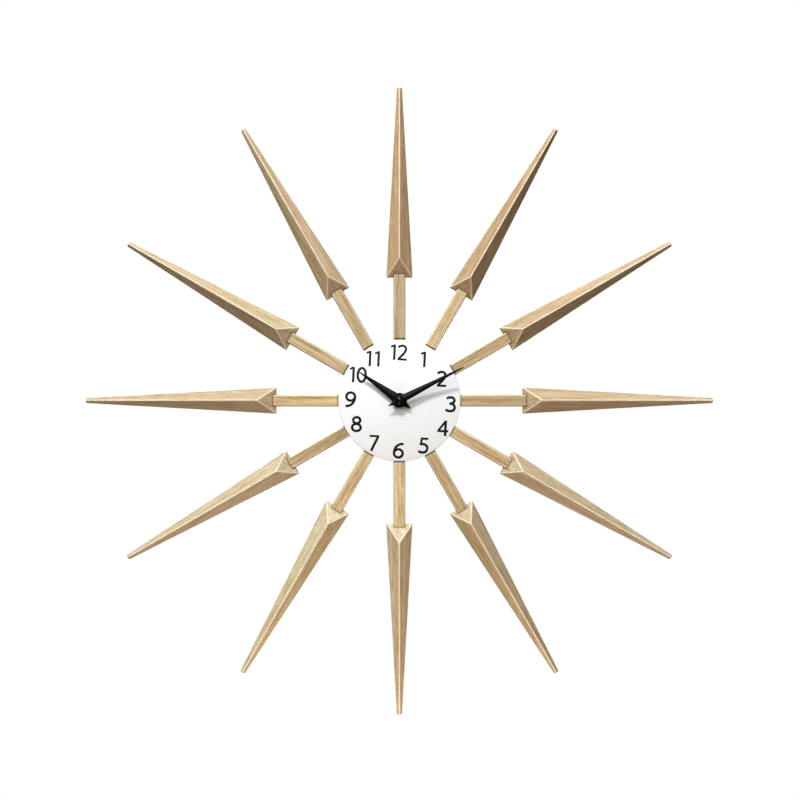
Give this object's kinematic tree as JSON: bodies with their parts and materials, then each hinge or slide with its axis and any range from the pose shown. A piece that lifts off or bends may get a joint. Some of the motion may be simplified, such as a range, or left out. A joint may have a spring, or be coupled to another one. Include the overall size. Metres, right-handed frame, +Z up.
{
  "type": "sunburst wall clock",
  "caption": "Battery wall clock with a small domed dial and long faceted wooden rays on flat spokes",
  "frame": {"origin": "on the hand axis, in the plane of the wall that the hub housing's rim stands against", "axes": "+Z up towards 12 o'clock, +X towards 3 o'clock, +Y into the wall, so the dial faces -Y"},
  "size_m": [0.61, 0.0402, 0.61],
  "materials": {
    "ray_wood": "satin lacquer over straight grain",
    "bar_wood": "satin lacquer over straight grain",
    "dial_white": "gloss white, printed with black numerals",
    "numeral_ink": "black print on the dial",
    "housing_black": "fine moulded texture",
    "movement_black": "fine moulded texture",
    "cover_grey": "fine moulded texture",
    "bridge_natural": "natural acetal",
    "gear_white": "natural acetal",
    "gear_red": "coloured acetal",
    "zinc_steel": "zinc plated",
    "spring_steel": "nickel plated",
    "core_steel": "bare electrical sheet",
    "magnet": "sintered",
    "brass_turned": "turned",
    "copper_wire": "enamelled winding wire",
    "board_green": "solder mask",
    "chip_epoxy": "potted drop",
    "hand_black": "black gloss lacquer",
    "rubber_black": "matt",
    "cell_jacket": "printed sleeve, plain"
  },
  "bodies": {
    "clock_body": {"brass_washer": "brass_turned", "circuit_board": "board_green", "coil_bobbin": "bridge_natural", "coil_core": "core_steel", "coil_winding": "copper_wire", "contact_negative": "spring_steel", "contact_positive": "spring_steel", "control_chip": "chip_epoxy", "dial": "dial_white", "gear_bridge": "bridge_natural", "hanger_plate": "zinc_steel", "hanger_screws": "zinc_steel", "hub_housing": "housing_black", "movement_case": "movement_black", "movement_cover": "cover_grey", "quartz_crystal": "spring_steel", "ray_head_01": "ray_wood", "ray_head_02": "ray_wood", "ray_head_03": "ray_wood", "ray_head_04": "ray_wood", "ray_head_05": "ray_wood", "ray_head_06": "ray_wood", "ray_head_07": "ray_wood", "ray_head_08": "ray_wood", "ray_head_09": "ray_wood", "ray_head_10": "ray_wood", "ray_head_11": "ray_wood", "ray_head_12": "ray_wood", "rubber_washer": "rubber_black", "shaft_nut": "brass_turned", "spoke_bar_01": "bar_wood", "spoke_bar_02": "bar_wood", "spoke_bar_03": "bar_wood", "spoke_bar_04": "bar_wood", "spoke_bar_05": "bar_wood", "spoke_bar_06": "bar_wood", "spoke_bar_07": "bar_wood", "spoke_bar_08": "bar_wood", "spoke_bar_09": "bar_wood", "spoke_bar_10": "bar_wood", "spoke_bar_11": "bar_wood", "spoke_bar_12": "bar_wood", "spoke_screws": "zinc_steel", "stator": "core_steel"},
    "minute_set": {"minute_arbor": "brass_turned", "cannon_pinion": "gear_white", "clutch_washer": "spring_steel", "minute_hand": "hand_black", "cap_nut": "hand_black"},
    "hour_set": {"hour_wheel": "gear_white", "hour_hand": "hand_black"},
    "motion_wheel": {"motion_wheel": "gear_red"},
    "set_knob": {"set_knob": "gear_red"},
    "rotor": {"rotor": "magnet"},
    "intermediate_wheel": {"intermediate_wheel": "gear_red"},
    "seconds_wheel": {"seconds_wheel": "gear_white"},
    "third_wheel": {"third_wheel": "gear_white"},
    "centre_wheel": {"centre_wheel": "gear_white"},
    "battery": {"battery": "cell_jacket"}
  },
  "joints": [
    {"name": "minute_spin", "type": "hinge", "parent": "clock_body", "child": "minute_set", "pos_m": [0, -0.01, 0], "axis": [0, 1, 0], "continuous": true},
    {"name": "hour_spin", "type": "hinge", "parent": "clock_body", "child": "hour_set", "pos_m": [0, -0.01, 0], "axis": [0, 1, 0], "continuous": true},
    {"name": "motion_spin", "type": "hinge", "parent": "clock_body", "child": "motion_wheel", "pos_m": [-0.01159, -0.01, 0.00311], "axis": [0, 1, 0], "continuous": true},
    {"name": "knob_spin", "type": "hinge", "parent": "clock_body", "child": "set_knob", "pos_m": [-0.01759, -0.01, 0.0135], "axis": [0, 1, 0], "continuous": true},
    {"name": "rotor_spin", "type": "hinge", "parent": "clock_body", "child": "rotor", "pos_m": [0.01441, -0.01, 0.01183], "axis": [0, 1, 0], "continuous": true},
    {"name": "intermediate_spin", "type": "hinge", "parent": "clock_body", "child": "intermediate_wheel", "pos_m": [0.01071, -0.01, 0.0039], "axis": [0, 1, 0], "continuous": true},
    {"name": "seconds_spin", "type": "hinge", "parent": "clock_body", "child": "seconds_wheel", "pos_m": [0, -0.01, 0], "axis": [0, 1, 0], "continuous": true},
    {"name": "third_spin", "type": "hinge", "parent": "clock_body", "child": "third_wheel", "pos_m": [-0.00574, -0.01, 0.00994], "axis": [0, 1, 0], "continuous": true},
    {"name": "centre_spin", "type": "hinge", "parent": "clock_body", "child": "centre_wheel", "pos_m": [0, -0.01, 0], "axis": [0, 1, 0], "continuous": true},
    {"name": "battery_slide", "type": "slide", "parent": "clock_body", "child": "battery", "axis": [0, 1, 0], "range_m": [0, 0.025]}
  ],
  "couplings": [
    {"joint": "hour_spin", "follows": "minute_spin", "ratio": 0.083333},
    {"joint": "motion_spin", "follows": "minute_spin", "ratio": -0.33333},
    {"joint": "knob_spin", "follows": "minute_spin", "ratio": 1},
    {"joint": "intermediate_spin", "follows": "rotor_spin", "ratio": -0.16667},
    {"joint": "seconds_spin", "follows": "rotor_spin", "ratio": 0.033333},
    {"joint": "third_spin", "follows": "rotor_spin", "ratio": -0.0044444},
    {"joint": "centre_spin", "follows": "rotor_spin", "ratio": 0.00055556}
  ]
}
